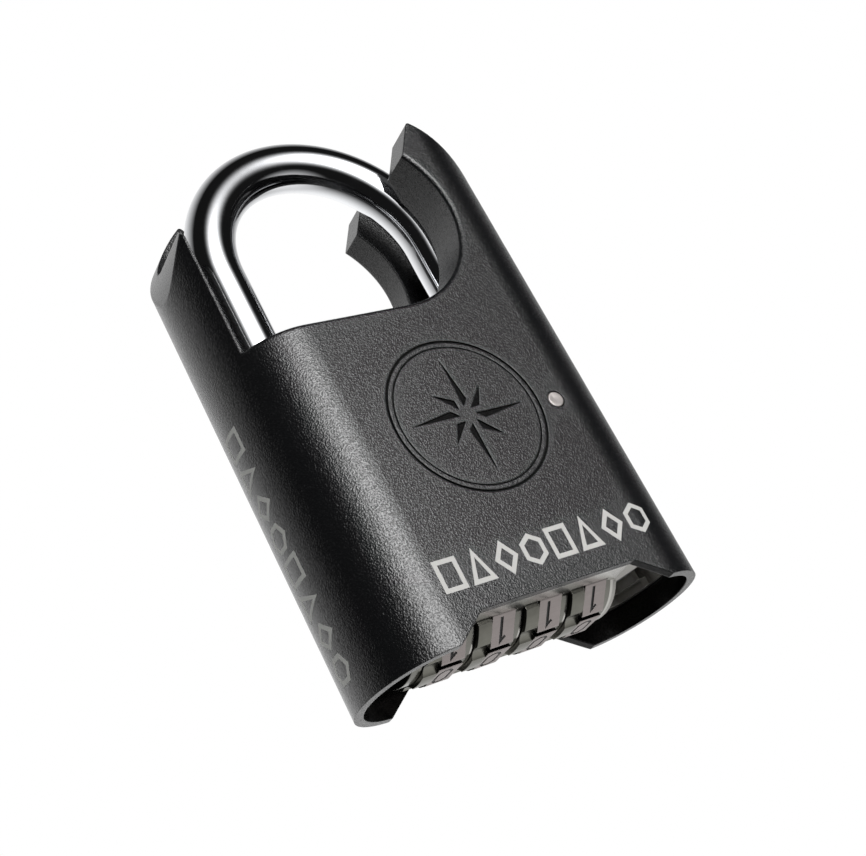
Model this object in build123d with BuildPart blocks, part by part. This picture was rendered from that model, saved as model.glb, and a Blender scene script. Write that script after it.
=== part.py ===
from build123d import *
import math
import os

# Four-dial combination padlock with a guarded shackle.
# Millimetres. +X runs along the dial axis, -Y is the front, +Z is up to the bow.
# The origin is in the middle of the lower rim.

# Shroud
body_width = 60.0
body_depth = 26.6
flat_half = 18.3
wall = 1.5
deck_top = 53.25
deck_bottom = 49.0
shoulder_z = 69.2
shoulder_mid = (27.2, 76.2)
horn_tip = (17.8, 87.3)
bite_z = 70.35
bite_r = 17.1
horn_face_x = 13.6
slot_reach = 27.2
slot_front = -4.8
slot_back = 7.4
slot_corner_r = 5.0
notch_low = 19.5
notch_high = 14.05
notch_z = 3.8
leg_hole_r = 4.5

# Emblem in the front face
emblem_z = 32.8
emblem_r = 13.17
emblem_line = 0.4
emblem_gap = 1.1
emblem_depth = 0.25

# Shackle
bar_r = 4.07
leg_x = 19.92
bow_z = 70.9
toe_end = 41.4
heel_end = 16.0
lift = 12.0
neck_r = 2.0

# Bolt in the toe leg
bolt_tip_x = -18.6
bolt_length = 16.0
bolt_width = 5.5
bolt_low = 43.2
bolt_high = 46.8
notch_floor_x = -18.85
notch_ramp = 2.0

# Lock body
case_gap = 0.1
frame_bottom = 3.85
split_z = 25.0
case_top = 48.95
bore_r = 4.3

# Dials
dial_z = 10.6
dial_width = 6.5
dial_pitch = 8.6
dial_first = -20.35
dial_count = 4
grip_width = 2.4
land_reach = 10.2
land_edge_r = 10.5
grip_r = 10.3
dial_bore_r = 7.0
pocket_r = 10.8
pocket_gap = 0.2
partition_r = 9.6
spindle_r = 2.0
counterbore_r = 3.5
fin_reach = 3.2
open_code = (2, 5, 8, 4)

# Front pin
pin_x = 16.3
pin_z = 31.85
pin_r = 1.45

# Each digit is a set of strokes in a cell 2 wide and 3.4 high, then stretched.
digit_strokes = {
    0: [[(-0.35, -1.5), (-0.85, -0.9), (-0.85, 0.9), (-0.35, 1.5), (0.35, 1.5),
         (0.85, 0.9), (0.85, -0.9), (0.35, -1.5), (-0.35, -1.5)]],
    1: [[(-0.5, 0.95), (0.1, 1.5), (0.1, -1.6)]],
    2: [[(-0.8, 0.9), (-0.35, 1.5), (0.4, 1.5), (0.85, 0.9), (0.7, 0.2), (-0.8, -1.5), (0.85, -1.5)]],
    3: [[(-0.8, 1.5), (0.8, 1.5), (-0.05, 0.3), (0.5, 0.2), (0.85, -0.6), (0.4, -1.5),
         (-0.4, -1.5), (-0.85, -1.0)]],
    4: [[(0.5, -1.6), (0.5, 1.5)], [(0.5, 1.5), (-0.85, -0.7), (0.95, -0.7)]],
    5: [[(0.8, 1.5), (-0.65, 1.5), (-0.75, 0.25), (0.3, 0.35), (0.85, -0.5), (0.4, -1.5),
         (-0.4, -1.5), (-0.85, -1.1)]],
    6: [[(0.6, 1.5), (-0.3, 1.1), (-0.85, -0.3)],
        [(-0.85, -0.6), (-0.5, -1.5), (0.5, -1.5), (0.85, -0.7), (0.4, 0.1), (-0.5, 0.1), (-0.85, -0.6)]],
    7: [[(-0.85, 1.5), (0.85, 1.5), (-0.2, -1.6)]],
    8: [[(0.0, 0.15), (-0.7, 0.8), (-0.4, 1.5), (0.4, 1.5), (0.7, 0.8), (0.0, 0.15)],
        [(0.0, 0.15), (0.85, -0.7), (0.4, -1.5), (-0.4, -1.5), (-0.85, -0.7), (0.0, 0.15)]],
    9: [[(-0.6, -1.5), (0.3, -1.1), (0.85, 0.3)],
        [(0.85, 0.6), (0.5, 1.5), (-0.5, 1.5), (-0.85, 0.7), (-0.4, -0.1), (0.5, -0.1), (0.85, 0.6)]],
}
digit_wide = 1.3
digit_tall = 1.3
digit_line = 0.5
digit_shift = 0.2
digit_depth = 0.25

half = body_width / 2
front = body_depth / 2
side_reach = half - flat_half
dial_starts = [dial_first + n * dial_pitch for n in range(dial_count)]
dial_end = dial_starts[-1] + dial_width
grip_centres = [(x + grip_width / 2, 0) for x in dial_starts]
case_inset = wall + case_gap

os.makedirs("parts", exist_ok=True)


def lens(inset):
    # Body section: flat front and back, rounded sides.
    Rectangle(2 * flat_half, body_depth - 2 * inset)
    with Locations((flat_half, 0), (-flat_half, 0)):
        Ellipse(side_reach - inset, front - inset)


# Outer shroud: one sleeve with horns that guard the shackle.
horn_tip_x, tip_z = horn_tip
face_z = bite_z + math.sqrt(bite_r ** 2 - horn_face_x ** 2)

with BuildPart() as outer_shroud:
    with BuildSketch(Plane.XY):
        lens(0)
    extrude(amount=tip_z + 1)
    with BuildSketch(Plane.XZ) as outline:
        with BuildLine():
            Line((notch_low, 0), (half, 0))
            Line((half, 0), (half, shoulder_z))
            ThreePointArc((half, shoulder_z), shoulder_mid, (horn_tip_x, tip_z))
            Line((horn_tip_x, tip_z), (horn_face_x, face_z))
            ThreePointArc((horn_face_x, face_z), (0, bite_z - bite_r), (-horn_face_x, face_z))
            Line((-horn_face_x, face_z), (-horn_tip_x, tip_z))
            ThreePointArc((-horn_tip_x, tip_z), (-shoulder_mid[0], shoulder_mid[1]), (-half, shoulder_z))
            Line((-half, shoulder_z), (-half, 0))
            Polyline((-half, 0), (-notch_low, 0), (-notch_high, notch_z), (notch_high, notch_z), (notch_low, 0))
        make_face()
        fillet(outline.vertices().sort_by(Axis.Y)[-2:], radius=0.5)
    extrude(amount=front + 1, both=True, mode=Mode.INTERSECT)
    # Hollow for the lock body
    with BuildSketch(Plane.XY):
        lens(wall)
    extrude(amount=deck_bottom, mode=Mode.SUBTRACT)
    # Open shoulder on the toe side, where the free leg swings out
    with BuildSketch(Plane.XY.offset(deck_top)) as toe_slot:
        with Locations((-slot_reach / 2, (slot_back - 2 * front) / 2)):
            Rectangle(slot_reach, slot_back + 2 * front)
        fillet(toe_slot.vertices().sort_by(Axis.Y)[-2:].sort_by(Axis.X)[:1], radius=slot_corner_r)
    extrude(amount=50, mode=Mode.SUBTRACT)
    # Slot between the front and back horns on the heel side
    with BuildSketch(Plane.XY.offset(deck_top)) as heel_slot:
        with Locations((slot_reach / 2, (slot_front + slot_back) / 2)):
            Rectangle(slot_reach, slot_back - slot_front)
        fillet(heel_slot.vertices().sort_by(Axis.X)[-2:], radius=slot_corner_r)
    extrude(amount=50, mode=Mode.SUBTRACT)
    # Rounded front corner on top of the toe side wall
    with BuildSketch(Plane.YZ.offset(-half - 1)):
        with BuildLine():
            Line((-front, 80), (-front, 72.5))
            Line((-front, 72.5), (-9.2, 72.5))
            ThreePointArc((-9.2, 72.5), (-8.0, 75.4), (-5.0, 77.2))
            Line((-5.0, 77.2), (-5.0, 80))
            Line((-5.0, 80), (-front, 80))
        make_face()
    extrude(amount=half - slot_reach + 2, mode=Mode.SUBTRACT)
    # Lead-in on the inner side of the front horn's tip
    with BuildSketch(Plane.YZ):
        with BuildLine():
            Polyline((slot_front + 1, 76), (slot_front, 77.5), (-7.4, 81.6), (-7.4, 95), (slot_front + 1, 95), close=True)
        make_face()
    extrude(amount=slot_reach, mode=Mode.SUBTRACT)
    # Leg holes
    with BuildSketch(Plane.XY.offset(deck_bottom - 1)):
        with Locations((leg_x, 0), (-leg_x, 0)):
            Circle(leg_hole_r)
    extrude(amount=deck_top - deck_bottom + 2, mode=Mode.SUBTRACT)
    # Hole for the retaining pin
    with BuildSketch(Plane.XZ.offset(front + 1)):
        with Locations((pin_x, pin_z)):
            Circle(pin_r + 0.03)
    extrude(amount=-(wall + 2), mode=Mode.SUBTRACT)
    # Engraved double ring with a plain compass star
    with BuildSketch(Plane.XZ.offset(front)):
        with Locations((0, emblem_z)):
            Circle(emblem_r)
            Circle(emblem_r - emblem_line, mode=Mode.SUBTRACT)
            Circle(emblem_r - emblem_gap)
            Circle(emblem_r - emblem_gap - emblem_line / 2, mode=Mode.SUBTRACT)
        for point in range(8):
            reach = 10.2 if point % 2 == 0 else 6.2
            tip_angle = math.radians(90 - 45 * point)
            base_angle = math.radians(90 - 45 * point - 22.5)
            tip = (reach * math.cos(tip_angle), emblem_z + reach * math.sin(tip_angle))
            root = (1.4 * math.cos(tip_angle), emblem_z + 1.4 * math.sin(tip_angle))
            base = (2.9 * math.cos(base_angle), emblem_z + 2.9 * math.sin(base_angle))
            with BuildLine():
                Polyline(tip, root, base, close=True)
            make_face()
    extrude(amount=-emblem_depth, mode=Mode.SUBTRACT)
    # Rounded outer edges of the bite
    bite_edges = outer_shroud.edges().filter_by(GeomType.CIRCLE).filter_by(
        lambda e: abs(e.radius - bite_r) < 0.01 and abs(e.center().Y) > front - 0.5)
    fillet(bite_edges, radius=0.7)
outer_shroud.part.label = "outer_shroud"
export_step(outer_shroud.part, "parts/outer_shroud.step")


# Shackle: a round bar bent to a bow, long heel leg on the right.
with BuildPart() as shackle:
    with BuildLine(Plane.XZ):
        Line((leg_x, heel_end), (leg_x, bow_z))
        ThreePointArc((leg_x, bow_z), (0, bow_z + leg_x), (-leg_x, bow_z))
        Line((-leg_x, bow_z), (-leg_x, toe_end))
    with BuildSketch(Plane.XY.offset(heel_end)):
        with Locations((leg_x, 0)):
            Circle(bar_r)
    sweep()
    end_edges = shackle.edges().filter_by(GeomType.CIRCLE).filter_by(
        lambda e: abs(e.center().Z - heel_end) < 0.01 or abs(e.center().Z - toe_end) < 0.01)
    fillet(end_edges, radius=0.8)
    # Flat that slides past the retaining pin, and the neck it stops at
    with BuildSketch(Plane.XY.offset(pin_z - pin_r - lift - 0.2)):
        with Locations((leg_x - neck_r - 5, 0)):
            Rectangle(10, 10)
    extrude(amount=lift + 2 * pin_r + 0.5, mode=Mode.SUBTRACT)
    with BuildSketch(Plane.XY.offset(pin_z - pin_r - lift - 0.2)):
        with Locations((leg_x, 0)):
            Circle(bar_r + 1)
            Circle(neck_r, mode=Mode.SUBTRACT)
    extrude(amount=2 * pin_r + 0.4, mode=Mode.SUBTRACT)
    # Notch in the toe leg with a ramp that pushes the bolt back
    with BuildSketch(Plane.XZ):
        with BuildLine():
            Polyline((-15.0, bolt_high + 0.4), (notch_floor_x, bolt_high + 0.4), (notch_floor_x, bolt_low - 0.2),
                     (-15.0, bolt_low - 0.2 - notch_ramp * (-15.0 - notch_floor_x)), close=True)
        make_face()
    extrude(amount=6, both=True, mode=Mode.SUBTRACT)
shackle.part.label = "shackle"
export_step(shackle.part, "parts/shackle.step")


# Upper half of the lock body: leg bores, bolt channel, detent pockets.
screw_spots = [(-24.0, 5.5), (-24.0, -5.5), (26.3, 0.0)]
bolt_back_x = bolt_tip_x + bolt_length
channel_end = 11.0
bolt_mid_z = (bolt_low + bolt_high) / 2

with BuildPart() as lock_case:
    with BuildSketch(Plane.XY.offset(split_z)):
        lens(case_inset)
    extrude(amount=case_top - split_z)
    with BuildSketch(Plane.XY.offset(split_z - 1)):
        with Locations((leg_x, 0)):
            Circle(bore_r)
    extrude(amount=case_top - split_z + 2, mode=Mode.SUBTRACT)
    with BuildSketch(Plane.XY.offset(toe_end - 0.5)):
        with Locations((-leg_x, 0)):
            Circle(bore_r)
    extrude(amount=case_top, mode=Mode.SUBTRACT)
    # Bolt channel, open at the top for the cover
    with BuildSketch(Plane.XY.offset(bolt_low - 0.15)):
        with Locations(((channel_end - leg_x) / 2, 0)):
            Rectangle(channel_end + leg_x, bolt_width + 0.3)
    extrude(amount=case_top, mode=Mode.SUBTRACT)
    # Retaining pin hole, from the front
    with BuildSketch(Plane.XZ.offset(front)):
        with Locations((pin_x, pin_z)):
            Circle(pin_r + 0.03)
    extrude(amount=-(front + 9.0), mode=Mode.SUBTRACT)
    # Detent spring pockets and screw holes, from below
    with BuildSketch(Plane.XY.offset(split_z - 1)):
        with Locations(*grip_centres):
            Circle(1.15)
    extrude(amount=5.0, mode=Mode.SUBTRACT)
    with BuildSketch(Plane.XY.offset(split_z - 1)):
        with Locations(*screw_spots):
            Circle(1.05)
    extrude(amount=7.0, mode=Mode.SUBTRACT)
lock_case.part.label = "lock_case"
export_step(lock_case.part, "parts/lock_case.step")


# Lower half of the lock body: dial windows, partitions, spindle bore.
partition_ranges = [(x + dial_width + pocket_gap, x + dial_pitch - pocket_gap) for x in dial_starts[:-1]]
partition_ranges.append((dial_first - 1.9, dial_first - pocket_gap))
partition_ranges.append((dial_end + pocket_gap, dial_end + 2.7))
spindle_end = 15.1

with BuildPart() as dial_frame:
    with BuildSketch(Plane.XY.offset(frame_bottom)):
        lens(case_inset)
    extrude(amount=split_z - frame_bottom)
    # Partitions stand out below the flat underside, round the dial axis
    for low, high in partition_ranges:
        with BuildSketch(Plane.YZ.offset(low)):
            with Locations((0, dial_z)):
                Circle(partition_r)
        extrude(amount=high - low)
    # Dial pockets
    for x in dial_starts:
        with BuildSketch(Plane.YZ.offset(x - pocket_gap)):
            with Locations((0, dial_z)):
                Circle(pocket_r)
        extrude(amount=dial_width + 2 * pocket_gap, mode=Mode.SUBTRACT)
    # Spindle bore with a keyway that lets the fins through
    with BuildSketch(Plane.YZ.offset(-half)):
        with Locations((0, dial_z)):
            Circle(spindle_r + 0.05)
        with Locations((0, dial_z + fin_reach / 2)):
            Rectangle(1.3, fin_reach + 0.3)
    extrude(amount=half + spindle_end + 0.1, mode=Mode.SUBTRACT)
    # Stepped recess round the heel bore
    for step_inset, step_depth in ((0, 1.3), (-1.3, 3.0)):
        with BuildSketch(Plane.XY.offset(frame_bottom)):
            with BuildLine():
                Polyline((15.6, 5.5), (17.6, 9.3), (24.3, 7.2), (27.0, 3.2), (27.0, -3.2), (24.3, -7.2),
                         (17.6, -9.3), (15.6, -5.5), close=True)
            make_face()
            offset(amount=step_inset, mode=Mode.REPLACE)
        extrude(amount=step_depth, mode=Mode.SUBTRACT)
    with BuildSketch(Plane.XY.offset(frame_bottom - 1)):
        with Locations((leg_x, 0)):
            Circle(bore_r)
    extrude(amount=split_z, mode=Mode.SUBTRACT)
    # Detent holes above the dial rims
    with BuildSketch(Plane.XY.offset(dial_z + 9)):
        with Locations(*grip_centres):
            Circle(1.15)
    extrude(amount=split_z, mode=Mode.SUBTRACT)
    # Screw holes with deep counterbores for the heads
    with BuildSketch(Plane.XY):
        with Locations(*screw_spots):
            Circle(1.05)
    extrude(amount=split_z + 1, mode=Mode.SUBTRACT)
    with BuildSketch(Plane.XY):
        with Locations(*screw_spots):
            Circle(1.75)
    extrude(amount=18.0, mode=Mode.SUBTRACT)
dial_frame.part.label = "dial_frame"
export_step(dial_frame.part, "parts/dial_frame.step")


# Dials: ten flat lands beside a scalloped grip rim.
for n, x in enumerate(dial_starts):
    land_x = x + grip_width + (dial_width - grip_width) / 2
    with BuildPart() as dial:
        with BuildSketch(Plane.YZ.offset(x)):
            with Locations((0, dial_z)):
                Circle(grip_r)
                Circle(dial_bore_r, mode=Mode.SUBTRACT)
                with PolarLocations(12.1, 10):
                    Circle(2.35, mode=Mode.SUBTRACT)
        extrude(amount=grip_width)
        with BuildSketch(Plane.YZ.offset(x + grip_width)):
            with Locations((0, dial_z)):
                RegularPolygon(radius=land_reach, side_count=10, major_radius=False)
                Circle(land_edge_r, mode=Mode.INTERSECT)
                Circle(dial_bore_r, mode=Mode.SUBTRACT)
                with PolarLocations(land_edge_r, 10):
                    Rectangle(1.7, 0.9, mode=Mode.SUBTRACT)
        extrude(amount=dial_width - grip_width)
        # Engraved digits, read with the dial end up
        for digit in range(10):
            turn = math.radians(36 * digit)
            face = Plane(origin=(land_x - digit_shift, -land_reach * math.sin(turn), dial_z - land_reach * math.cos(turn)),
                         x_dir=(-1, 0, 0), z_dir=(0, -math.sin(turn), -math.cos(turn)))
            with BuildSketch(face):
                for stroke in digit_strokes[digit]:
                    with BuildLine():
                        Polyline(*[(digit_wide * u, digit_tall * v) for u, v in stroke])
                    trace(line_width=digit_line)
            extrude(amount=-digit_depth, mode=Mode.SUBTRACT)
    dial.part.label = f"dial_{n + 1}"
    export_step(dial.part, f"parts/dial_{n + 1}.step")

    # Code sleeve: its gate lines up with the spindle fin at one digit.
    gate_turn = 36 * open_code[n]
    gate_centre = (spindle_r + fin_reach) / 2
    with BuildPart() as code_sleeve:
        with BuildSketch(Plane.YZ.offset(x)):
            with Locations((0, dial_z)):
                Circle(dial_bore_r)
                Circle(spindle_r + 0.06, mode=Mode.SUBTRACT)
                with Locations(Rotation(0, 0, 90 + gate_turn)):
                    with Locations((gate_centre, 0)):
                        Rectangle(fin_reach - spindle_r + 1.0, 1.4, mode=Mode.SUBTRACT)
        extrude(amount=dial_width)
        with BuildSketch(Plane.YZ.offset(x)):
            with Locations((0, dial_z)):
                Circle(counterbore_r)
        extrude(amount=2.0, mode=Mode.SUBTRACT)
    code_sleeve.part.label = f"code_sleeve_{n + 1}"
    export_step(code_sleeve.part, f"parts/code_sleeve_{n + 1}.step")


# Spindle with one fin for each dial.
spindle_start = dial_first - 3.2
with BuildPart() as spindle:
    with BuildSketch(Plane.YZ.offset(spindle_start)):
        with Locations((0, dial_z)):
            Circle(spindle_r)
    extrude(amount=spindle_end - spindle_start)
    chamfer(spindle.edges().filter_by(GeomType.CIRCLE), length=0.4)
    for x in dial_starts:
        with BuildSketch(Plane.YZ.offset(x + 0.4)):
            with Locations((0, dial_z + fin_reach / 2)):
                Rectangle(1.0, fin_reach)
        extrude(amount=1.2)
spindle.part.label = "spindle"
export_step(spindle.part, "parts/spindle.step")


def coil(radius, wire, length, turns, start, direction):
    # Coil spring with its axis through start, along direction.
    base = Plane(origin=start, z_dir=direction)
    height = length - wire
    path = base.offset(wire / 2).location * Helix(pitch=height / turns, height=height, radius=radius - wire / 2)
    with BuildPart() as spring:
        with BuildSketch(Plane(origin=path @ 0, z_dir=path % 0)):
            Circle(wire / 2)
        sweep(path=path, is_frenet=True)
    return spring.part


# Springs
shackle_spring = coil(3.9, 0.8, heel_end - 9.0 - 0.1, 6, (leg_x, 0, 9.05), (0, 0, 1))
shackle_spring.label = "shackle_spring"
export_step(shackle_spring, "parts/shackle_spring.step")

bolt_spring = coil(1.3, 0.4, 19.7, 12, (channel_end - 0.1, 0, bolt_mid_z), (-1, 0, 0))
bolt_spring.label = "bolt_spring"
export_step(bolt_spring, "parts/bolt_spring.step")

spindle_spring = coil(1.8, 0.5, 4.4, 4, (spindle_start - 0.05, 0, dial_z), (-1, 0, 0))
spindle_spring.label = "spindle_spring"
export_step(spindle_spring, "parts/spindle_spring.step")

ball_r = 1.0
ball_z = dial_z + grip_r + ball_r + 0.1
detent_coils = [coil(1.0, 0.3, 28.9 - ball_z - ball_r, 5, (x, y, ball_z + ball_r + 0.02), (0, 0, 1))
                for x, y in grip_centres]
detent_springs = Compound(label="detent_springs", children=detent_coils)
export_step(detent_springs, "parts/detent_springs.step")

with BuildPart() as detent_balls:
    with Locations(*[(x, y, ball_z) for x, y in grip_centres]):
        Sphere(ball_r)
detent_balls.part.label = "detent_balls"
export_step(detent_balls.part, "parts/detent_balls.step")


# Lock bolt, bored from behind for its spring.
with BuildPart() as lock_bolt:
    with BuildSketch(Plane.XY.offset(bolt_low)):
        with Locations((bolt_tip_x + bolt_length / 2, 0)):
            Rectangle(bolt_length, bolt_width)
    extrude(amount=bolt_high - bolt_low)
    chamfer(lock_bolt.faces().sort_by(Axis.X)[0].edges().filter_by(Axis.Z), length=0.8)
    with BuildSketch(Plane.YZ.offset(bolt_back_x)):
        with Locations((0, bolt_mid_z)):
            Circle(1.5)
    extrude(amount=-(bolt_length - 3.5), mode=Mode.SUBTRACT)
lock_bolt.part.label = "lock_bolt"
export_step(lock_bolt.part, "parts/lock_bolt.step")


# Cover over the bolt channel.
cover_start = -leg_x + bore_r + 0.2
with BuildPart() as bolt_channel_cover:
    with BuildSketch(Plane.XY.offset(bolt_high + 0.2)):
        with Locations(((cover_start + channel_end - 0.05) / 2, 0)):
            Rectangle(channel_end - 0.05 - cover_start, bolt_width + 0.2)
    extrude(amount=case_top - bolt_high - 0.2)
bolt_channel_cover.part.label = "bolt_channel_cover"
export_step(bolt_channel_cover.part, "parts/bolt_channel_cover.step")


# Plug under the shackle spring, with a driver slot.
with BuildPart() as heel_bore_plug:
    with BuildSketch(Plane.XY.offset(6.0)):
        with Locations((leg_x, 0)):
            Circle(bore_r - 0.02)
    extrude(amount=3.0)
    chamfer(heel_bore_plug.edges().filter_by(GeomType.CIRCLE).sort_by(Axis.Z)[0], length=0.8)
    with BuildSketch(Plane.XY.offset(6.0)):
        with Locations((leg_x, 0)):
            Rectangle(1.2, 7.0, rotation=35)
    extrude(amount=1.2, mode=Mode.SUBTRACT)
heel_bore_plug.part.label = "heel_bore_plug"
export_step(heel_bore_plug.part, "parts/heel_bore_plug.step")


# Retaining pin, flush with the front and held in the lock case.
with BuildPart() as retaining_pin:
    with BuildSketch(Plane.XZ.offset(front)):
        with Locations((pin_x, pin_z)):
            Circle(pin_r)
    extrude(amount=-(front + 8.8))
    chamfer(retaining_pin.edges().filter_by(GeomType.CIRCLE), length=0.2)
retaining_pin.part.label = "retaining_pin"
export_step(retaining_pin.part, "parts/retaining_pin.step")


# Screws that join the two halves of the lock body.
with BuildPart() as case_screws:
    with BuildSketch(Plane.XY.offset(16.4)):
        with Locations(*screw_spots):
            Circle(1.65)
    extrude(amount=1.6)
    with BuildSketch(Plane.XY.offset(16.4)):
        with Locations(*screw_spots):
            RegularPolygon(radius=0.8, side_count=6)
    extrude(amount=0.9, mode=Mode.SUBTRACT)
    with BuildSketch(Plane.XY.offset(18.0)):
        with Locations(*screw_spots):
            Circle(1.0)
    extrude(amount=12.5)
case_screws.part.label = "case_screws"
export_step(case_screws.part, "parts/case_screws.step")
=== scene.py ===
import math

import bmesh
import bpy
from mathutils import Matrix, Vector


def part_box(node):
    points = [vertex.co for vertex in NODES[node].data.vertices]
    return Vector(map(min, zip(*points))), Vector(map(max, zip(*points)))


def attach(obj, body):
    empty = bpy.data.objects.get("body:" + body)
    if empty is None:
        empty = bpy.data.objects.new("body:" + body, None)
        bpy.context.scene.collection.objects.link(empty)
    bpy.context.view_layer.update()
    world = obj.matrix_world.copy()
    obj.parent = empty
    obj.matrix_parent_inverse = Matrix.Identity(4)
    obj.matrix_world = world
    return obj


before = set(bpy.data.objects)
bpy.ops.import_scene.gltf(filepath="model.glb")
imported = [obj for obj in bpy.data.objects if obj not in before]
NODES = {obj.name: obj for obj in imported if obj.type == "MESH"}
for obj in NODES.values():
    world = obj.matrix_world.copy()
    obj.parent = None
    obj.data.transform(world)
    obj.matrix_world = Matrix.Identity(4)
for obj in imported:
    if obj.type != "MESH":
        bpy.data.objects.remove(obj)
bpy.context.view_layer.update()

MM = 0.001
SCENE = bpy.context.scene

# ---------------------------------------------------------------- places
# In millimetres. Boxes come from the CAD nodes, the rest repeats the CAD shape.


def box_mm(node):
    low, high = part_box(node)
    return low / MM, high / MM


SHROUD_LOW = box_mm("outer_shroud")[0]
SHACKLE_HIGH = box_mm("shackle")[1]
DIAL_BOXES = [box_mm(f"dial_{n}") for n in (1, 2, 3, 4)]

FRONT_Y = SHROUD_LOW.y
SIDE_X = SHROUD_LOW.x
FLAT_HALF = 18.3
ROUND_WIDTH = -SIDE_X - FLAT_HALF
DECK_Z = 53.25

BAR_R = SHACKLE_HIGH.y
LEG_X = SHACKLE_HIGH.x - BAR_R
BOW_Z = SHACKLE_HIGH.z - BAR_R - LEG_X

EMBLEM_Z = 32.8
EMBLEM_R = 13.17

DIAL_Z = (DIAL_BOXES[0][0].z + DIAL_BOXES[0][1].z) / 2
DIALS_END = DIAL_BOXES[3][1].x
GRIP_WIDTH = 2.4
LAND_REACH = 10.2
LAND_STEP = math.radians(36)
PARTITION_R = 9.6
RECESS_TOP = 24.0

# ---------------------------------------------------------------- camera
# The view's own right, up and forward directions. The camera looks up at the lock from its left.
VIEW_RIGHT = Vector((0.80729, -0.39105, -0.44200))
VIEW_UP = Vector((0.19630, -0.52838, 0.82600))
VIEW_ALONG = Vector((0.55656, 0.75359, 0.34979))
CAMERA_AT = Vector((-136.44, -188.69, -49.42))
CAMERA_LENS = 66.85


def add_camera():
    data = bpy.data.cameras.new("camera")
    data.sensor_fit = "HORIZONTAL"
    data.sensor_width = 36.0
    data.lens = CAMERA_LENS
    data.clip_start = 0.01
    data.clip_end = 10.0
    camera = bpy.data.objects.new("camera", data)
    SCENE.collection.objects.link(camera)
    turn = Matrix((VIEW_RIGHT, VIEW_UP, -VIEW_ALONG)).transposed()
    camera.matrix_world = Matrix.Translation(CAMERA_AT * MM) @ turn.to_4x4()
    SCENE.camera = camera


# ---------------------------------------------------------------- node graphs


class Graph:
    """A material's nodes. Values are numbers, colours or the outputs of other nodes."""

    def __init__(self, name):
        self.material = bpy.data.materials.new(name)
        self.material.use_nodes = True
        self.tree = self.material.node_tree
        self.tree.nodes.clear()
        self.output = self.tree.nodes.new("ShaderNodeOutputMaterial")

    def add(self, kind, settings=None, **inputs):
        node = self.tree.nodes.new("ShaderNode" + kind)
        for key, value in (settings or {}).items():
            setattr(node, key, value)
        for key, value in inputs.items():
            self.put(node.inputs[key.replace("_", " ")], value)
        return node

    def put(self, socket, value):
        if isinstance(value, bpy.types.NodeSocket):
            self.tree.links.new(value, socket)
        elif isinstance(value, tuple) and socket.type == "RGBA":
            socket.default_value = (*value, 1.0)
        else:
            socket.default_value = value

    def math(self, operation, a, b=None, clamp=False):
        node = self.add("Math", {"operation": operation, "use_clamp": clamp})
        self.put(node.inputs[0], a)
        if b is not None:
            self.put(node.inputs[1], b)
        return node.outputs[0]

    def plus(self, a, b, clamp=False):
        return self.math("ADD", a, b, clamp)

    def minus(self, a, b):
        return self.math("SUBTRACT", a, b)

    def times(self, first, *others):
        for value in others:
            first = self.math("MULTIPLY", first, value)
        return first

    def size(self, value):
        return self.math("ABSOLUTE", value)

    def most(self, a, b):
        return self.math("MAXIMUM", a, b)

    def length(self, a, b):
        return self.math("SQRT", self.plus(self.times(a, a), self.times(b, b)))

    def dot(self, a, b):
        node = self.add("VectorMath", {"operation": "DOT_PRODUCT"})
        self.put(node.inputs[0], a)
        self.put(node.inputs[1], b)
        return node.outputs["Value"]

    def step(self, value, low, high):
        """0 below low, 1 above high, smooth between. With low above high, the other way round."""
        node = self.add("MapRange", {"interpolation_type": "SMOOTHSTEP", "clamp": True})
        self.put(node.inputs["Value"], value)
        self.put(node.inputs["From Min"], low)
        self.put(node.inputs["From Max"], high)
        return node.outputs[0]

    def spread(self, value, low, high):
        """A 0 to 1 value spread from low to high."""
        node = self.add("MapRange", {"clamp": True})
        self.put(node.inputs["Value"], value)
        self.put(node.inputs["To Min"], low)
        self.put(node.inputs["To Max"], high)
        return node.outputs[0]

    def mix(self, factor, a, b):
        node = self.add("Mix", {"data_type": "RGBA"})
        self.put(node.inputs[0], factor)
        self.put(node.inputs[6], a)
        self.put(node.inputs[7], b)
        return node.outputs[2]

    def place(self):
        """The point in the object's own space, in millimetres, and its x, y and z."""
        scaled = self.add("VectorMath", {"operation": "SCALE"}, Scale=1 / MM)
        self.put(scaled.inputs[0], self.add("TexCoord").outputs["Object"])
        parts = self.add("SeparateXYZ", Vector=scaled.outputs[0])
        return scaled.outputs[0], parts.outputs[0], parts.outputs[1], parts.outputs[2]

    def noise(self, point, scale, detail=2.0, roughness=0.5):
        """Noise with about scale lumps a millimetre."""
        node = self.add("TexNoise", Vector=point, Scale=scale, Detail=detail, Roughness=roughness)
        return node.outputs["Fac"]

    def bump(self, height, strength, distance, normal=None):
        node = self.add("Bump", Height=height, Strength=strength, Distance=distance * MM)
        if normal is not None:
            self.put(node.inputs["Normal"], normal)
        return node.outputs[0]

    def soft_edges(self, radius):
        """The normal with edges rounded by radius millimetres, and how near an edge a point is."""
        bevel = self.add("Bevel", {"samples": 6}, Radius=self.times(radius, MM))
        straight = self.dot(bevel.outputs[0], self.add("NewGeometry").outputs["Normal"])
        return bevel.outputs[0], self.step(straight, 0.995, 0.93)

    def from_dials(self, y, z):
        """How far a point is from the dials' axis, and its height above the axis."""
        up = self.minus(z, DIAL_Z)
        return self.length(y, up), up

    def finish(self, **inputs):
        shader = self.add("BsdfPrincipled", None, **inputs)
        self.tree.links.new(shader.outputs[0], self.output.inputs["Surface"])
        return self.material


# ---------------------------------------------------------------- materials

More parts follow.
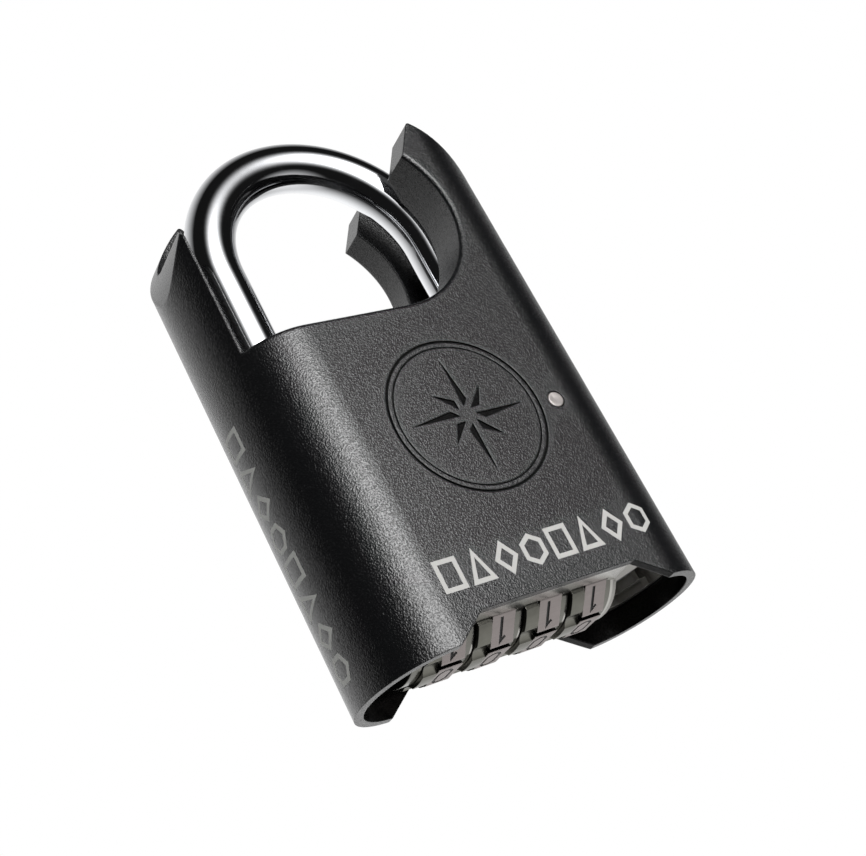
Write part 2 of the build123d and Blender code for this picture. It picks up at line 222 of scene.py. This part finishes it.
BODY_EDGE_R, HORN_EDGE_R = 0.28, 0.55
COAT_DARK, COAT_PALE = (0.0045, 0.0047, 0.0052), (0.0085, 0.0088, 0.0096)
COAT_DUST, COAT_CUT_PAINTED_LIGHT, COAT_WORN_HIGHLIGHT = (0.035, 0.035, 0.037), (0.011, 0.011, 0.0115), (0.12, 0.12, 0.125)
COAT_SHADED = (0.002, 0.002, 0.002)
COAT_RELIEF = 0.075
COAT_GLOSS, HOLLOW_SHADED_GLOSS = 0.85, 0.25


def powder_coat():
    """Grained black coat: smoother on cut faces and painted a little paler there, a painted light;
    thin in the hollow; painted shade in the hollow and the engraving; edges painted paler, partly
    wear, partly a painted highlight.
    """
    g = Graph("powder_coat")
    point, x, y, z = g.place()
    side = g.add("TexCoord").outputs["Normal"]
    facing = g.add("SeparateXYZ", Vector=side).outputs
    rounded, edge = g.soft_edges(g.spread(g.step(z, DECK_Z - 6, DECK_Z), BODY_EDGE_R, HORN_EDGE_R))

    # Cut faces stand above the deck and square to the front. So do the sleeve's own sides, which
    # are upright and further out.
    above = g.step(z, DECK_Z + 0.4, DECK_Z + 0.8)
    square = g.step(g.size(facing[1]), 0.25, 0.05)
    sloped = g.step(g.size(facing[2]), 0.02, 0.1)
    off_side = g.step(g.size(x), -SIDE_X - 0.7, -SIDE_X - 1.1)
    cut = g.times(above, square, g.most(sloped, off_side))

    # The hollow's walls face the lock's own middle.
    from_middle = g.add("CombineXYZ", X=x, Y=y).outputs[0]
    hollow = g.times(g.step(g.dot(side, from_middle), -0.5, -2.0), g.step(z, DECK_Z, DECK_Z - 1.0))

    # The engraving lies just behind the front, inside the emblem's ring.
    sunk = g.times(g.step(y, FRONT_Y + 0.04, FRONT_Y + 0.1),
                   g.step(y, FRONT_Y + 0.5, FRONT_Y + 0.4))
    from_emblem = g.length(x, g.minus(z, EMBLEM_Z))
    engraved = g.times(sunk, g.step(from_emblem, EMBLEM_R + 0.2, EMBLEM_R))

    grain = g.noise(point, 4.0, detail=1.5)
    lumps = g.noise(point, 1.9, detail=1.0)
    cloud = g.noise(point, 0.06, detail=3.0)
    dust = g.step(g.noise(point, 2.6, detail=1.0), 0.60, 0.72)
    # Edges painted paler where the noise allows: partly wear, partly a painted highlight.
    wear_and_highlight = g.times(edge, g.step(g.noise(point, 0.9, detail=4.0), 0.45, 0.7))
    coat = g.mix(cloud, COAT_DARK, COAT_PALE)
    coat = g.mix(g.times(dust, 0.2), coat, COAT_DUST)
    # Painted light: the cut faces are painted a little paler than the rest of the coat.
    coat = g.mix(cut, coat, COAT_CUT_PAINTED_LIGHT)
    coat = g.mix(g.times(wear_and_highlight, 0.5), coat, COAT_WORN_HIGHLIGHT)
    # Painted shade: the hollow's walls and the engraving are darkened.
    coat = g.mix(g.most(engraved, hollow), coat, COAT_SHADED)

    rough = g.plus(g.spread(grain, 0.17, 0.27), g.times(cut, 0.06))
    rough = g.plus(rough, g.times(engraved, 0.7), clamp=True)
    depth = g.times(g.minus(1.0, g.times(cut, 0.45)), g.spread(hollow, 1.0, 0.1))
    texture = g.times(g.plus(grain, g.times(lumps, 0.4)), depth)
    normal = g.bump(texture, 1.0, COAT_RELIEF, rounded)
    # The grain's pits lose light, so that it shows where the surroundings are even too. The hollow
    # and the engraving reflect less: painted shade.
    gloss = g.times(g.spread(hollow, COAT_GLOSS, HOLLOW_SHADED_GLOSS), g.spread(engraved, 1.0, 0.3),
                    g.spread(g.step(grain, 0.36, 0.64), 0.60, 1.22))
    return g.finish(Base_Color=coat, Roughness=rough, Normal=normal, IOR=1.5,
                    Specular_IOR_Level=gloss)


PARTITION_PAINTED_SHADE = (0.15, 0.148, 0.13)
# Past a dial's right end: where the painted highlight rim on its partition starts and stops, and
# past the last dial where the partitions end.
HIGHLIGHT_RIM_START, HIGHLIGHT_RIM_STOP, PARTITIONS_STOP = 1.5, 2.1, 1.9


def dial_bay(g, x, y, z, colour, rough):
    """The colour and roughness with painted shade on the partitions between the dials, except a
    painted highlight on a thin rim at one edge of each. The recess past them is brushed, so that
    it takes light from all round."""
    reach = g.from_dials(y, z)[0]
    stop = DIALS_END + PARTITIONS_STOP
    partition_shade = g.times(g.step(reach, PARTITION_R + 0.6, PARTITION_R + 0.3), g.step(x, stop + 0.3, stop))
    for _, high in DIAL_BOXES:
        rim = g.times(g.step(x, high.x + HIGHLIGHT_RIM_START, high.x + HIGHLIGHT_RIM_START + 0.08),
                      g.step(x, high.x + HIGHLIGHT_RIM_STOP, high.x + HIGHLIGHT_RIM_STOP - 0.1))
        partition_shade = g.times(partition_shade, g.minus(1.0, rim))
    brushed = g.times(g.step(x, stop, stop + 0.3), g.step(z, RECESS_TOP, RECESS_TOP - 2.0))
    # Painted shade on the partitions, with a painted highlight where the rim is left out of it.
    colour = g.mix(g.times(partition_shade, 0.9), colour, PARTITION_PAINTED_SHADE)
    return colour, g.plus(rough, g.times(brushed, 0.32), clamp=True)


def plated(name, tone, dark, rough_range, smear, relief, edge_radius=0.15, bay=False):
    """A plated or bare metal: a colour that varies a little, smears, a faint relief and edges
    painted paler, a painted highlight. With bay, the partitions between the dials get painted shade
    with a painted highlight rim, and the recess past them is brushed."""
    g = Graph(name)
    point, x, y, z = g.place()
    rounded, edge = g.soft_edges(edge_radius)
    cloud = g.noise(point, 0.12, detail=4.0, roughness=0.6)
    lines = g.noise(point, smear, detail=3.0, roughness=0.65)
    specks = g.step(g.noise(point, 1.9), 0.66, 0.74)
    colour = g.mix(cloud, dark, tone)
    colour = g.mix(g.times(specks, 0.35), colour, tuple(c * 0.55 for c in dark))
    # Painted highlight: the edges are painted paler than the metal.
    colour = g.mix(g.times(edge, 0.35), colour, tuple(min(1.0, c * 1.15) for c in tone))
    rough = g.plus(g.spread(lines, *rough_range), g.times(specks, 0.08), clamp=True)
    if bay:
        colour, rough = dial_bay(g, x, y, z, colour, rough)
    normal = g.bump(g.plus(lines, cloud), 0.35, relief, rounded)
    return g.finish(Base_Color=colour, Roughness=rough, Normal=normal, Metallic=1.0)


def shackle_chrome():
    """Polished chrome with smudges, and fine lines that follow the bar round its bow."""
    g = Graph("shackle_chrome")
    point, x, y, z = g.place()
    rounded = g.soft_edges(0.2)[0]
    cloud = g.noise(point, 0.09, detail=3.0)
    bow = g.length(x, g.most(g.minus(z, BOW_Z), 0.0))
    along = g.add("CombineXYZ", X=bow, Y=y, Z=g.times(z, 0.02)).outputs[0]
    lines = g.noise(along, 2.4, detail=4.0, roughness=0.6)
    smudge = g.step(g.noise(point, 0.22, detail=5.0, roughness=0.7), 0.48, 0.78)
    colour = g.mix(cloud, (0.78, 0.79, 0.81), (0.88, 0.89, 0.91))
    colour = g.mix(g.times(smudge, 0.12), colour, (0.62, 0.63, 0.66))
    rough = g.plus(g.spread(lines, 0.035, 0.085), g.times(smudge, 0.09), clamp=True)
    normal = g.bump(g.plus(lines, g.times(cloud, 2.0)), 0.10, 0.02, rounded)
    return g.finish(Base_Color=colour, Roughness=rough, Normal=normal, Metallic=1.0)


LAND_DARK, LAND_PALE = (0.34, 0.30, 0.29), (0.50, 0.45, 0.435)
LAND_STAIN, LAND_EDGE_HIGHLIGHT, LAND_SUNK = (0.28, 0.24, 0.23), (0.75, 0.72, 0.70), (0.03, 0.028, 0.027)
GRIP_DARK, GRIP_PALE, GRIP_EDGE_HIGHLIGHT = (0.13, 0.128, 0.110), (0.24, 0.235, 0.205), (0.62, 0.60, 0.57)


def dial_metal():
    """Drawn metal on the lands, darker on the grips, edges painted paler as a painted highlight,
    and
    black where a land is cut: paint in the digits, painted shade in the grooves between the lands.
    """
    g = Graph("dial_metal")
    point, x, y, z = g.place()
    rounded, edge = g.soft_edges(0.12)
    # How far out the point is, measured square to the nearest of the ten lands.
    reach, up = g.from_dials(y, z)
    turn = g.math("ARCTAN2", g.times(y, -1.0), g.times(up, -1.0))
    nearest = g.times(g.math("ROUND", g.math("DIVIDE", turn, LAND_STEP)), LAND_STEP)
    out = g.times(reach, g.math("COSINE", g.minus(turn, nearest)))
    deep = g.step(out, LAND_REACH - 0.06, LAND_REACH - 0.14)
    outside = g.step(reach, 7.4, 7.8)
    grip = 0.0
    for low, _ in DIAL_BOXES:
        grip_end = low.x + GRIP_WIDTH
        inside = g.times(g.step(x, low.x - 0.1, low.x), g.step(x, grip_end + 0.06, grip_end - 0.02))
        grip = g.most(grip, inside)
    dark = g.times(g.most(deep, grip), outside)
    sunk = g.times(deep, g.minus(1.0, grip), outside)

    stretch = g.add("Mapping", Vector=point, Scale=(0.06, 1.0, 1.0)).outputs[0]
    lines = g.noise(stretch, 3.2, detail=3.0, roughness=0.6)
    cloud = g.noise(point, 0.5, detail=3.0)
    land = g.mix(lines, LAND_DARK, LAND_PALE)
    land = g.mix(g.times(cloud, 0.35), land, LAND_STAIN)
    # Painted highlight: the edges of the lands and of the grips are painted paler.
    land = g.mix(g.times(edge, 0.4), land, LAND_EDGE_HIGHLIGHT)
    rim = g.mix(cloud, GRIP_DARK, GRIP_PALE)
    rim = g.mix(g.times(edge, 0.5), rim, GRIP_EDGE_HIGHLIGHT)
    # Black where a land is cut: paint in the engraved digits, painted shade in the grooves between
    # the lands.
    colour = g.mix(sunk, g.mix(dark, land, rim), LAND_SUNK)
    rough = g.plus(g.spread(lines, 0.34, 0.50), g.times(dark, -0.12), clamp=True)
    normal = g.bump(lines, 0.35, 0.03, rounded)
    metal = g.spread(dark, 0.75, 1.0)
    return g.finish(Base_Color=colour, Roughness=rough, Normal=normal, Metallic=metal)


def pin_steel():
    """Steel with the dents of the punch that drove it in."""
    g = Graph("pin_steel")
    point = g.place()[0]
    rounded = g.soft_edges(0.2)[0]
    cells = g.add("TexVoronoi", {"feature": "SMOOTH_F1"}, Vector=point, Scale=0.9, Smoothness=1.0)
    dents = cells.outputs["Distance"]
    fine = g.noise(point, 3.0, detail=4.0, roughness=0.7)
    colour = g.mix(dents, (0.46, 0.43, 0.415), (0.32, 0.295, 0.285))
    colour = g.mix(g.step(fine, 0.60, 0.75), colour, (0.20, 0.19, 0.18))
    rough = g.spread(fine, 0.28, 0.50)
    normal = g.bump(g.plus(dents, g.times(fine, 0.2)), 0.4, 0.2, rounded)
    return g.finish(Base_Color=colour, Roughness=rough, Normal=normal, Metallic=1.0)


def paint(name, low, high, roughness, chips):
    """Paint: a print on the coat or a fill in the digits, with small breaks in its colour."""
    g = Graph(name)
    point = g.place()[0]
    grain = g.noise(point, 2.4, detail=4.0, roughness=0.7)
    broken = g.step(grain, 0.60, 0.72)
    colour = g.mix(grain, low, high)
    colour = g.mix(g.times(broken, chips), colour, (0.02, 0.02, 0.02))
    rough = g.spread(grain, roughness - 0.08, roughness + 0.08)
    return g.finish(Base_Color=colour, Roughness=rough, Normal=g.bump(grain, 0.4, 0.05))


# ---------------------------------------------------------------- small pieces


def new_piece(name, mesh_maker, material, body):
    mesh = bpy.data.meshes.new(name)
    bm = bmesh.new()
    mesh_maker(bm)
    bmesh.ops.recalc_face_normals(bm, faces=bm.faces)
    bm.to_mesh(mesh)
    bm.free()
    piece = bpy.data.objects.new(name, mesh)
    SCENE.collection.objects.link(piece)
    mesh.materials.append(material)
    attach(piece, body)


def ribbon(points, width):
    """The two sides of a stroke through points, with mitred corners, and whether it is closed."""
    closed = points[0] == points[-1]
    line = [Vector(p) for p in (points[:-1] if closed else points)]
    count = len(line)
    left, right = [], []
    for i, p in enumerate(line):
        directions = []
        if closed or i > 0:
            directions.append((p - line[i - 1]).normalized())
        if closed or i < count - 1:
            directions.append((line[(i + 1) % count] - p).normalized())
        along = sum(directions, Vector((0, 0))).normalized()
        side = Vector((-along.y, along.x))
        normal = Vector((-directions[0].y, directions[0].x))
        reach = width / 2 / max(0.5, side.dot(normal))
        left.append(p + side * reach)
        right.append(p - side * reach)
    return left, right, closed


def stroke(bm, points, width, place, thickness):
    """A flat stroke, in millimetres. points are in the place's x and y, thickness along its z."""
    left, right, closed = ribbon(points, width)
    count = len(left)

    def rail(side, z):
        return [bm.verts.new((place @ Vector((p.x, p.y, z))) * MM) for p in side]

    rails = [rail(left, 0.0), rail(right, 0.0), rail(right, thickness), rail(left, thickness)]
    for i in range(count if closed else count - 1):
        j = (i + 1) % count
        for k in range(4):
            m = (k + 1) % 4
            bm.faces.new((rails[k][i], rails[k][j], rails[m][j], rails[m][i]))
    if not closed:
        bm.faces.new([r[0] for r in rails])
        bm.faces.new([r[-1] for r in reversed(rails)])


# Each digit's strokes, as points across and up from its middle. A stroke that ends where it
# starts is closed.
DIGIT_STROKES = {
    0: [[(-0.35, -1.5), (-0.85, -0.9), (-0.85, 0.9), (-0.35, 1.5), (0.35, 1.5),
         (0.85, 0.9), (0.85, -0.9), (0.35, -1.5), (-0.35, -1.5)]],
    1: [[(-0.5, 0.95), (0.1, 1.5), (0.1, -1.6)]],
    2: [[(-0.8, 0.9), (-0.35, 1.5), (0.4, 1.5), (0.85, 0.9), (0.7, 0.2), (-0.8, -1.5),
         (0.85, -1.5)]],
    3: [[(-0.8, 1.5), (0.8, 1.5), (-0.05, 0.3), (0.5, 0.2), (0.85, -0.6), (0.4, -1.5),
         (-0.4, -1.5), (-0.85, -1.0)]],
    4: [[(0.5, -1.6), (0.5, 1.5)], [(0.5, 1.5), (-0.85, -0.7), (0.95, -0.7)]],
    5: [[(0.8, 1.5), (-0.65, 1.5), (-0.75, 0.25), (0.3, 0.35), (0.85, -0.5), (0.4, -1.5),
         (-0.4, -1.5), (-0.85, -1.1)]],
    6: [[(0.6, 1.5), (-0.3, 1.1), (-0.85, -0.3)],
        [(-0.85, -0.6), (-0.5, -1.5), (0.5, -1.5), (0.85, -0.7), (0.4, 0.1), (-0.5, 0.1),
         (-0.85, -0.6)]],
    7: [[(-0.85, 1.5), (0.85, 1.5), (-0.2, -1.6)]],
    8: [[(0.0, 0.15), (-0.7, 0.8), (-0.4, 1.5), (0.4, 1.5), (0.7, 0.8), (0.0, 0.15)],
        [(0.0, 0.15), (0.85, -0.7), (0.4, -1.5), (-0.4, -1.5), (-0.85, -0.7), (0.0, 0.15)]],
    9: [[(-0.6, -1.5), (0.3, -1.1), (0.85, 0.3)],
        [(0.85, 0.6), (0.5, 1.5), (-0.5, 1.5), (-0.85, 0.7), (-0.4, -0.1), (0.5, -0.1),
         (0.85, 0.6)]],
}
DIGIT_SCALE = 1.3
DIGIT_LINE = 0.5
DIGIT_DEPTH = 0.25
DIGIT_SHIFT = 0.2
FILL_GAP = 0.03
FILL_LIFT = 0.005
FILL_THICKNESS = 0.15


def add_digit_fills(material):
    """Black paint in the engraved digits. It stops just short of the walls and of the surface."""
    for n, (low, high) in enumerate(DIAL_BOXES, start=1):
        middle = (low.x + GRIP_WIDTH + high.x) / 2 - DIGIT_SHIFT

        def digits(bm):
            for digit, strokes in DIGIT_STROKES.items():
                turn = LAND_STEP * digit
                out = Vector((0.0, -math.sin(turn), -math.cos(turn)))
                foot = LAND_REACH - DIGIT_DEPTH + FILL_LIFT
                origin = Vector((middle, 0.0, DIAL_Z)) + out * foot
                right = Vector((-1.0, 0.0, 0.0))
                axes = Matrix((right, out.cross(right), out)).transposed()
                place = Matrix.Translation(origin) @ axes.to_4x4()
                for points in strokes:
                    scaled = [(DIGIT_SCALE * u, DIGIT_SCALE * v) for u, v in points]
                    stroke(bm, scaled, DIGIT_LINE - FILL_GAP, place, FILL_THICKNESS)

        new_piece(f"digit_paint_{n}", digits, material, f"dial_{n}")


# Printed rows of plain outlines. Each outline is given by its number of sides and the degrees
# it is turned.
OUTLINES = ((4, 45), (3, 90), (4, 0), (6, 90)) * 2
OUTLINE_WIDTH = 0.8
MARK_HEIGHT = 5.07
MARK_LINE = 0.72
MARK_THICKNESS = 0.012
MARK_PROUD = 0.006
FRONT_MARKS_LEFT, FRONT_MARKS_LOW, FRONT_MARKS_LENGTH = -18.1, 7.33, 38.6
SIDE_MARKS_TOP, SIDE_MARKS_BACK, SIDE_MARKS_LENGTH = 45.2, 3.3, 41.2


def plain_marks(bm, length):
    """The outlines in a flat row, each OUTLINE_WIDTH of a pitch wide."""
    pitch = length / (len(OUTLINES) - 1 + OUTLINE_WIDTH)
    wide = (pitch * OUTLINE_WIDTH - MARK_LINE) / 2
    tall = (MARK_HEIGHT - MARK_LINE) / 2
    for i, (sides, turn) in enumerate(OUTLINES):
        angles = [math.radians(turn) + math.tau * k / sides for k in range(sides)]
        across = [math.cos(a) for a in angles]
        up = [math.sin(a) for a in angles]
        far, low, high = max(across), min(up), max(up)
        centre = (i + OUTLINE_WIDTH / 2) * pitch
        points = [(centre + u / far * wide,
                   MARK_HEIGHT / 2 + ((v - low) / (high - low) * 2 - 1) * tall)
                  for u, v in zip(across, up)]
        stroke(bm, points + points[:1], MARK_LINE, Matrix.Identity(4), MARK_THICKNESS)


def cut_across(bm, direction, start, end, step):
    """Cuts the faces at every step along a direction, so that they can follow a curved surface."""
    at = start
    while at < end:
        everything = bm.verts[:] + bm.edges[:] + bm.faces[:]
        bmesh.ops.bisect_plane(bm, geom=everything,
                               plane_co=direction * at * MM, plane_no=direction)
        at += step


def add_marks(front_material, side_material):
    """The front row runs left to right and wraps the rounded side at its end. The other runs down
    the left side. u is along the row, w across it, and d outward from the face sunk in the coat."""

    def on_front(bm):
        plain_marks(bm, FRONT_MARKS_LENGTH)
        cut_across(bm, Vector((1, 0, 0)), FLAT_HALF - FRONT_MARKS_LEFT, FRONT_MARKS_LENGTH, 0.25)
        for v in bm.verts:
            u, w, d = v.co / MM
            x = FRONT_MARKS_LEFT + u
            past = max(0.0, x - FLAT_HALF)
            y = FRONT_Y * math.sqrt(1 - (past / ROUND_WIDTH) ** 2) + MARK_THICKNESS - MARK_PROUD - d
            v.co = Vector((x, y, FRONT_MARKS_LOW + w)) * MM

    def on_side(bm):
        plain_marks(bm, SIDE_MARKS_LENGTH)
        cut_across(bm, Vector((0, 1, 0)), 0.4, MARK_HEIGHT, 0.4)
        for v in bm.verts:
            u, w, d = v.co / MM
            y = SIDE_MARKS_BACK - w
            reach = ROUND_WIDTH * math.sqrt(1 - (y / FRONT_Y) ** 2)
            x = -FLAT_HALF - reach + MARK_THICKNESS - MARK_PROUD - d
            v.co = Vector((x, y, SIDE_MARKS_TOP - u)) * MM

    new_piece("front_marks", on_front, front_material, "lock_body")
    new_piece("side_marks", on_side, side_material, "lock_body")


# ---------------------------------------------------------------- stage and light

# In metres.
FLOOR_HALF = 3.0
FLOOR_Z = -0.0001

FLOOR_GLOW = 0.3


def add_floor():
    """A pale floor under the lock. The camera is below it, so it shows only from above."""
    mesh = bpy.data.meshes.new("floor")
    corners = ((-1, -1), (1, -1), (1, 1), (-1, 1))
    points = [(u * FLOOR_HALF, v * FLOOR_HALF, FLOOR_Z) for u, v in corners]
    mesh.from_pydata(points, [], [(0, 1, 2, 3)])
    floor = bpy.data.objects.new("floor", mesh)
    SCENE.collection.objects.link(floor)
    g = Graph("floor")
    point = g.place()[0]
    tone = g.mix(g.noise(point, 0.01), (0.80, 0.80, 0.79), (0.84, 0.84, 0.83))
    pale = g.add("AddShader")
    g.put(pale.inputs[0], g.add("BsdfDiffuse", Color=tone).outputs[0])
    g.put(pale.inputs[1], g.add("Emission", Color=tone, Strength=FLOOR_GLOW).outputs[0])
    both = g.add("MixShader")
    g.put(both.inputs[0], g.add("NewGeometry").outputs["Backfacing"])
    g.put(both.inputs[1], pale.outputs[0])
    g.put(both.inputs[2], g.add("BsdfTransparent").outputs[0])
    g.put(g.output.inputs["Surface"], both.outputs[0])
    mesh.materials.append(g.material)
    for ray in ("visible_diffuse", "visible_glossy", "visible_transmission", "visible_shadow"):
        setattr(floor, ray, False)


# Soft patches of light far away: azimuth from +X and elevation of the middle, how many degrees
# from it the light ends, how fast it falls off towards there, and how bright the middle is.
LIGHT_PATCHES = {
    "front softbox": (274, 13, 50, 4.0, 8.4),
    "backdrop": (85, 10, 82, 1.1, 1.1),
    "low sheet": (10, -55, 48, 1.5, 0.9),
}
ROOM_LEVEL = 0.008
WHITE = (1, 1, 1, 1)


def add_world():
    """White behind the lock. What lights it, and shows in the metal, is dark with soft patches."""
    world = bpy.data.worlds.new("studio")
    SCENE.world = world
    world.use_nodes = True
    tree = world.node_tree
    tree.nodes.clear()
    link = tree.links.new

    def new(kind, operation=None):
        node = tree.nodes.new("ShaderNode" + kind)
        if operation:
            node.operation = operation
        return node

    where = new("TexCoord").outputs["Generated"]
    total = None
    for azimuth, elevation, end, fall, level in LIGHT_PATCHES.values():
        a, e = math.radians(azimuth), math.radians(elevation)
        toward = new("VectorMath", "DOT_PRODUCT")
        direction = (math.cos(a) * math.cos(e), math.sin(a) * math.cos(e), math.sin(e))
        toward.inputs[1].default_value = direction
        link(where, toward.inputs[0])
        near = new("MapRange")
        near.inputs["From Min"].default_value = math.cos(math.radians(end))
        link(toward.outputs["Value"], near.inputs["Value"])
        patch = new("Math", "POWER")
        patch.inputs[1].default_value = fall
        link(near.outputs[0], patch.inputs[0])
        added = new("Math", "MULTIPLY_ADD")
        added.inputs[1].default_value = level
        link(patch.outputs[0], added.inputs[0])
        if total is None:
            added.inputs[2].default_value = ROOM_LEVEL
        else:
            link(total, added.inputs[2])
        total = added.outputs[0]
    lit, seen = new("Background"), new("Background")
    lit.inputs["Color"].default_value = WHITE
    link(total, lit.inputs["Strength"])
    seen.inputs["Color"].default_value = WHITE
    both = new("MixShader")
    link(new("LightPath").outputs["Is Camera Ray"], both.inputs[0])
    link(lit.outputs[0], both.inputs[1])
    link(seen.outputs[0], both.inputs[2])
    link(both.outputs[0], new("OutputWorld").inputs["Surface"])


# ---------------------------------------------------------------- build

add_camera()
SCENE.view_settings.view_transform = "Standard"

powder = powder_coat()
satin_chrome = plated("case_chrome", (0.56, 0.55, 0.52), (0.42, 0.41, 0.385), (0.14, 0.27), 0.8,
                      0.02, bay=True)
bright_chrome = shackle_chrome()
dial_finish = dial_metal()
pin_finish = pin_steel()
zinc = plated("steel", (0.60, 0.60, 0.61), (0.44, 0.44, 0.46), (0.24, 0.38), 1.4, 0.03)
wire = plated("spring_steel", (0.52, 0.52, 0.53), (0.34, 0.34, 0.35), (0.22, 0.36), 2.2, 0.02,
              edge_radius=0.05)
brass = plated("brass", (0.76, 0.58, 0.27), (0.62, 0.45, 0.19), (0.20, 0.34), 1.6, 0.03)
ball_steel = plated("detent_balls", (0.70, 0.70, 0.72), (0.60, 0.60, 0.62), (0.08, 0.16), 1.0, 0.01,
                    edge_radius=0.05)
front_print = paint("front_print", (0.46, 0.455, 0.435), (0.58, 0.575, 0.555), 0.55, 0.35)
side_print = paint("side_print", (0.70, 0.71, 0.67), (0.84, 0.85, 0.81), 0.55, 0.25)
digit_paint = paint("digit_paint", (0.008, 0.008, 0.008), (0.02, 0.02, 0.02), 0.5, 0.2)

FINISHES = {
    "outer_shroud": powder,
    "lock_case": satin_chrome,
    "dial_frame": satin_chrome,
    "shackle": bright_chrome,
    "retaining_pin": pin_finish,
    "lock_bolt": zinc,
    "bolt_channel_cover": zinc,
    "case_screws": zinc,
    "heel_bore_plug": zinc,
    "spindle": zinc,
    "spindle_spring": wire,
    "shackle_spring": wire,
    "bolt_spring": wire,
    "detent_springs": wire,
    "detent_balls": ball_steel,
}
for n in (1, 2, 3, 4):
    FINISHES[f"dial_{n}"] = dial_finish
    FINISHES[f"code_sleeve_{n}"] = brass
for node, finish in FINISHES.items():
    for slot in NODES[node].material_slots:
        slot.material = finish

add_digit_fills(digit_paint)
add_marks(front_print, side_print)

add_floor()
add_world()
